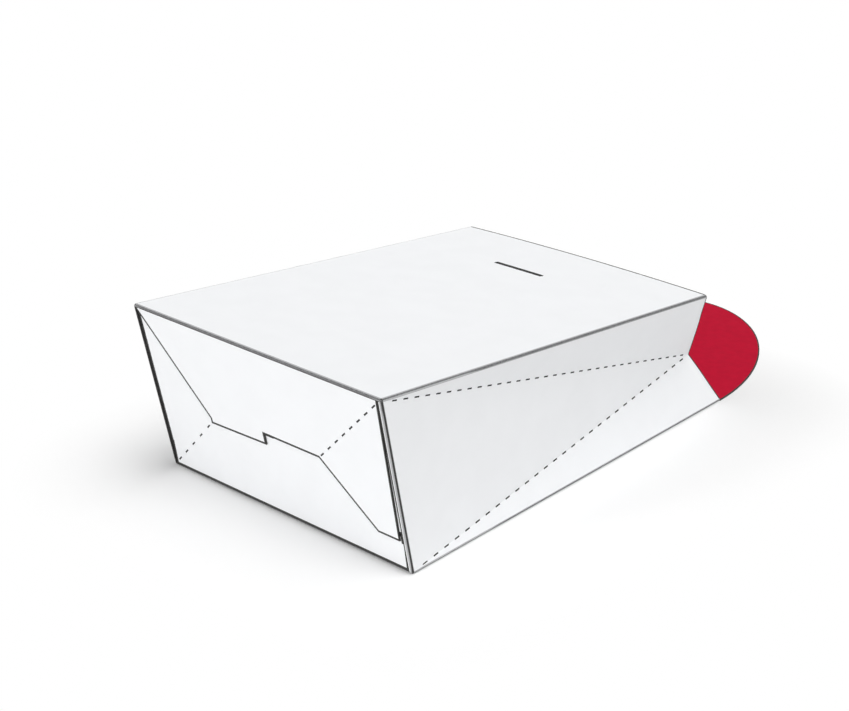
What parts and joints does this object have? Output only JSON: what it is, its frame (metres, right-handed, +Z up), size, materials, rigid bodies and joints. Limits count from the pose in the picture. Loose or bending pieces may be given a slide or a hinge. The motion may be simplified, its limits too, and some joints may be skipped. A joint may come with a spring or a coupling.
{
  "type": "gable-top paper bag carton",
  "caption": "Folded white paperboard bag with V-gusset sides, a hooked crash-lock bottom, a slit front panel and a red round tuck flap hinged at its open mouth.",
  "frame": {"origin": "middle of the back panel's outer face, which the bag lies on", "axes": "+X across the width, +Y from the bottom to the open mouth and the tuck flap, +Z up from the back panel to the front panel"},
  "size_m": [0.14, 0.3286, 0.0801],
  "materials": {
    "white_board": "matte",
    "red_print": "matte"
  },
  "bodies": {
    "bag": {"carton": "white_board"},
    "lid_flap": {"tuck_flap": "red_print"}
  },
  "joints": [
    {"name": "flap_fold", "type": "hinge", "parent": "bag", "child": "lid_flap", "pos_m": [0, 0.107, 0.0005], "axis": [1, 0, 0], "range_deg": [0, 104]}
  ]
}
